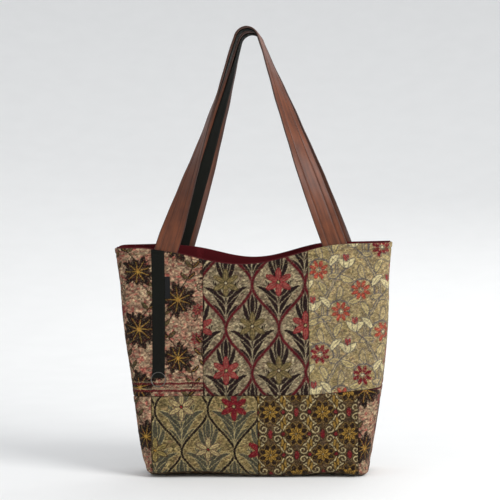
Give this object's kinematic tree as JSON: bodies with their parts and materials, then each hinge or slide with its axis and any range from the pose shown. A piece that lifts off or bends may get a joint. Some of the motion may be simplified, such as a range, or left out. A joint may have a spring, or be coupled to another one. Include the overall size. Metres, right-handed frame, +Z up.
{
  "type": "patchwork tapestry tote bag",
  "caption": "Soft open-topped tote of tapestry patches with a boxed base, red lining and leather straps backed with webbing, drawn up to hang from one hook.",
  "frame": {"origin": "on the ground under the middle of the flat base", "axes": "+Z up along the bag's height, +X across its width to the viewer's right, front of the bag towards -Y"},
  "size_m": [0.44, 0.12, 0.71],
  "materials": {
    "tapestry_rose": "jacquard tapestry, matt, leaf sprays on a mottled rose ground",
    "tapestry_stone": "jacquard tapestry, matt, dark red arches on a stone ground",
    "tapestry_gold": "jacquard tapestry, matt, daisies and vines on a gold ground",
    "tapestry_olive": "jacquard tapestry, matt, black arches on an olive ground",
    "tapestry_brown": "jacquard tapestry, matt, rosettes and scrolls on a dark brown ground",
    "tapestry_back": "jacquard tapestry, matt, small plain diamond weave",
    "lining_cotton": "plain-weave cotton, matt, dark red",
    "strap_leather": "vegetable-tanned leather, satin, reddish brown with dark cut edges",
    "webbing": "ribbed polyester webbing, low sheen, green-black",
    "label_ribbon": "satin ribbon, black, bare",
    "ring_steel": "bright nickel-plated steel wire"
  },
  "bodies": {
    "root": {"front_upper_left_patch": "tapestry_rose", "front_upper_middle_patch": "tapestry_stone", "front_upper_right_patch": "tapestry_gold", "front_lower_left_patch": "tapestry_olive", "front_lower_right_patch": "tapestry_brown", "left_side_panel": "tapestry_rose", "right_side_panel": "tapestry_rose", "back_upper_panel": "tapestry_back", "back_lower_panel": "tapestry_back", "base_panel": "tapestry_back", "lining": "lining_cotton", "front_strap": "strap_leather", "back_strap": "strap_leather", "front_strap_webbing": "webbing", "back_strap_webbing": "webbing", "front_band": "webbing", "label_tab": "label_ribbon", "key_ring": "ring_steel"}
  },
  "joints": []
}
